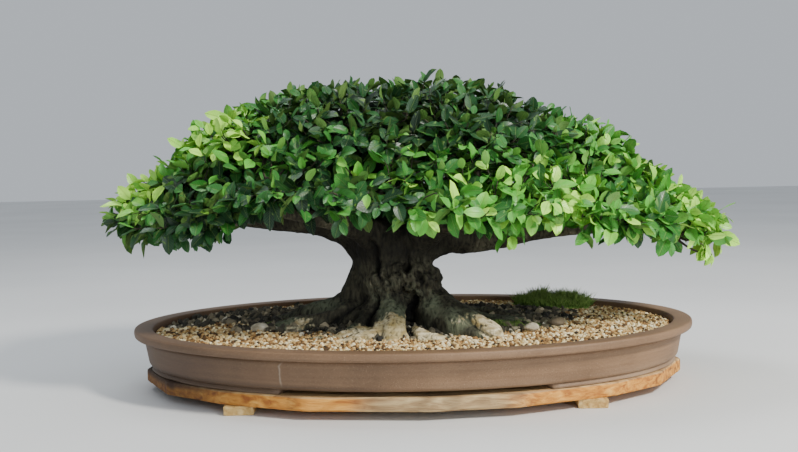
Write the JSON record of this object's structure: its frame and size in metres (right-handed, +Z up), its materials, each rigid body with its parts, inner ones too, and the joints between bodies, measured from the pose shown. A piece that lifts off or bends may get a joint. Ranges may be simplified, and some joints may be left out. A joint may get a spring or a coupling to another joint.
{
  "type": "potted ficus bonsai",
  "caption": "Bonsai fig tree with a stout trunk, spreading surface roots and a wide, low umbrella of leaves, in a shallow oval stoneware pot on a sawn oval board",
  "frame": {"origin": "the middle of the outer box's underside, on the plane that the two battens stand on", "axes": "+X to the right along the length of the pot, -Y towards the viewer, +Z up"},
  "size_m": [0.9482, 0.541, 0.4424],
  "materials": {
    "stoneware": "matt, unglazed",
    "board": "rough sawn, oiled and weathered",
    "batten": "rough sawn",
    "plastic_mesh": "matt",
    "soil": "damp and crumbly",
    "gravel": "loose baked clay grains",
    "moss": "soft and tufted",
    "stone": "matt",
    "bark": "rough grey-brown bark",
    "leaf": "waxy, half gloss"
  },
  "bodies": {
    "root": {"board": "board", "batten_left": "batten", "batten_right": "batten", "pot": "stoneware", "drain_mesh_left": "plastic_mesh", "drain_mesh_right": "plastic_mesh", "soil": "soil", "gravel": "gravel", "moss_mound_back_right": "moss", "moss_patch_right": "moss", "moss_patch_left": "moss", "pale_stone_left": "stone", "pale_stone_right": "stone", "pale_stone_front_right": "stone", "trunk_roots_and_branches": "bark", "leaf_spray_01": "leaf", "leaf_spray_02": "leaf", "leaf_spray_03": "leaf", "leaf_spray_04": "leaf", "leaf_spray_05": "leaf", "leaf_spray_06": "leaf", "leaf_spray_07": "leaf", "leaf_spray_08": "leaf", "leaf_spray_09": "leaf", "leaf_spray_10": "leaf", "leaf_spray_11": "leaf", "leaf_spray_12": "leaf", "leaf_spray_13": "leaf", "leaf_spray_14": "leaf", "leaf_spray_15": "leaf", "leaf_spray_16": "leaf", "leaf_spray_17": "leaf", "leaf_spray_18": "leaf", "leaf_spray_19": "leaf", "leaf_spray_20": "leaf", "leaf_spray_21": "leaf", "leaf_spray_22": "leaf", "leaf_spray_23": "leaf", "leaf_spray_24": "leaf", "leaf_spray_25": "leaf"}
  },
  "joints": []
}
